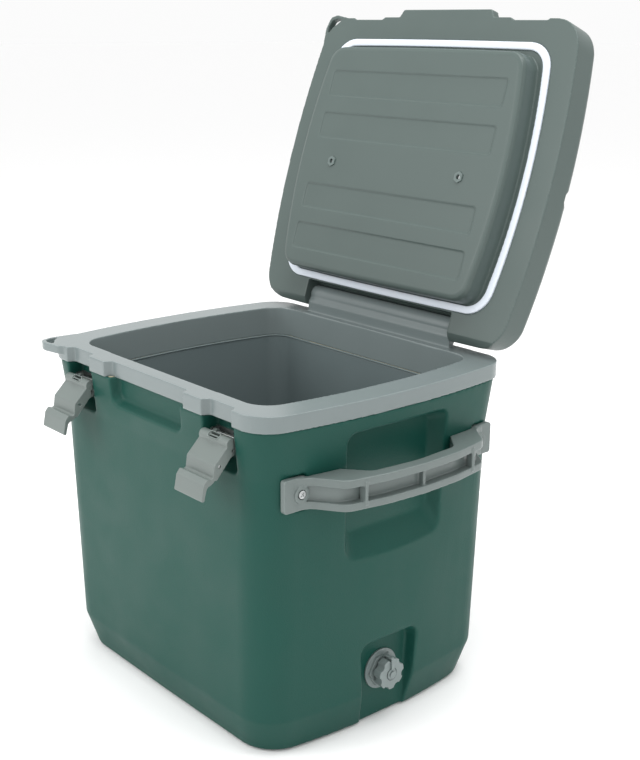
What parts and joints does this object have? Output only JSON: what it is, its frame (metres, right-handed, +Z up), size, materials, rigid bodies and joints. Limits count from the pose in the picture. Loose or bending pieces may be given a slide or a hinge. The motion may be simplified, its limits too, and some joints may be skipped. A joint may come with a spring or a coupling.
{
  "type": "hard-sided cooler",
  "caption": "Rectangular insulated hard cooler with a hinged lid, over-centre front latches, side bail handles and a screw-cap drain; lid shown open.",
  "frame": {"origin": "on the floor, in the plane of the feet, under the middle of the body", "axes": "+X to the side with the drain, -Y to the latches, +Y to the hinge, +Z up"},
  "size_m": [0.5236, 0.5323, 0.7851],
  "materials": {
    "green_polyethylene": "fine moulded texture",
    "grey_plastic": "satin",
    "liner_plastic": "fine texture",
    "lid_plastic": "fine texture",
    "drain_plastic": "satin",
    "foam": "cellular",
    "silicone": "smooth",
    "rubber": "matt",
    "stainless": "satin"
  },
  "bodies": {
    "root": {"outer_shell": "green_polyethylene", "body_foam": "foam", "inner_liner": "liner_plastic", "rim_collar": "grey_plastic", "hinge_pin": "stainless", "feet": "rubber", "handle_right": "grey_plastic", "handle_left": "grey_plastic", "handle_screws": "stainless", "drain_spout": "drain_plastic", "drain_nut": "drain_plastic", "drain_washer": "rubber", "latch_bracket_right": "stainless", "latch_bracket_left": "stainless", "latch_base_pins": "stainless", "latch_bracket_screws": "stainless"},
    "lid": {"lid_shell": "lid_plastic", "lid_inner_panel": "lid_plastic", "lid_foam": "foam", "lid_gasket": "silicone", "lid_nuts": "lid_plastic", "tie_downs": "grey_plastic", "tie_down_bolts": "stainless"},
    "link_right": {"latch_link_right": "grey_plastic"},
    "link_left": {"latch_link_left": "grey_plastic"},
    "lever_right": {"latch_lever_right": "grey_plastic", "latch_lever_pin_right": "stainless"},
    "lever_left": {"latch_lever_left": "grey_plastic", "latch_lever_pin_left": "stainless"},
    "cap_carrier": {"cap_seal": "rubber", "cap_tether": "drain_plastic"},
    "cap": {"drain_cap": "drain_plastic"}
  },
  "joints": [
    {"name": "lid_hinge", "type": "hinge", "parent": "root", "child": "lid", "pos_m": [0, 0.1818, 0.4179], "axis": [1, 0, 0], "range_deg": [0, 108]},
    {"name": "latch_link_right", "type": "hinge", "parent": "root", "child": "link_right", "pos_m": [0.13785, -0.16865, 0.3604], "axis": [-1, 0, 0], "range_deg": [0, 79]},
    {"name": "latch_lever_right", "type": "hinge", "parent": "link_right", "child": "lever_right", "pos_m": [0.13785, -0.1954, 0.3388], "axis": [1, 0, 0], "range_deg": [0, 105.67]},
    {"name": "latch_link_left", "type": "hinge", "parent": "root", "child": "link_left", "pos_m": [-0.13785, -0.16865, 0.3604], "axis": [-1, 0, 0], "range_deg": [0, 79]},
    {"name": "latch_lever_left", "type": "hinge", "parent": "link_left", "child": "lever_left", "pos_m": [-0.13785, -0.1954, 0.3388], "axis": [1, 0, 0], "range_deg": [0, 105.67]},
    {"name": "cap_slide", "type": "slide", "parent": "root", "child": "cap_carrier", "axis": [1, 0, 0], "range_m": [0, 0.0081]},
    {"name": "cap_turn", "type": "hinge", "parent": "cap_carrier", "child": "cap", "pos_m": [0.2, -0.001, 0.06], "axis": [1, 0, 0], "range_deg": [0, 720]}
  ],
  "couplings": [
    {"joint": "latch_lever_right", "follows": "latch_link_right", "ratio": 1.3351},
    {"joint": "latch_lever_left", "follows": "latch_link_left", "ratio": 1.3351},
    {"joint": "cap_slide", "follows": "cap_turn", "m_per_rad": 0.00063662}
  ]
}
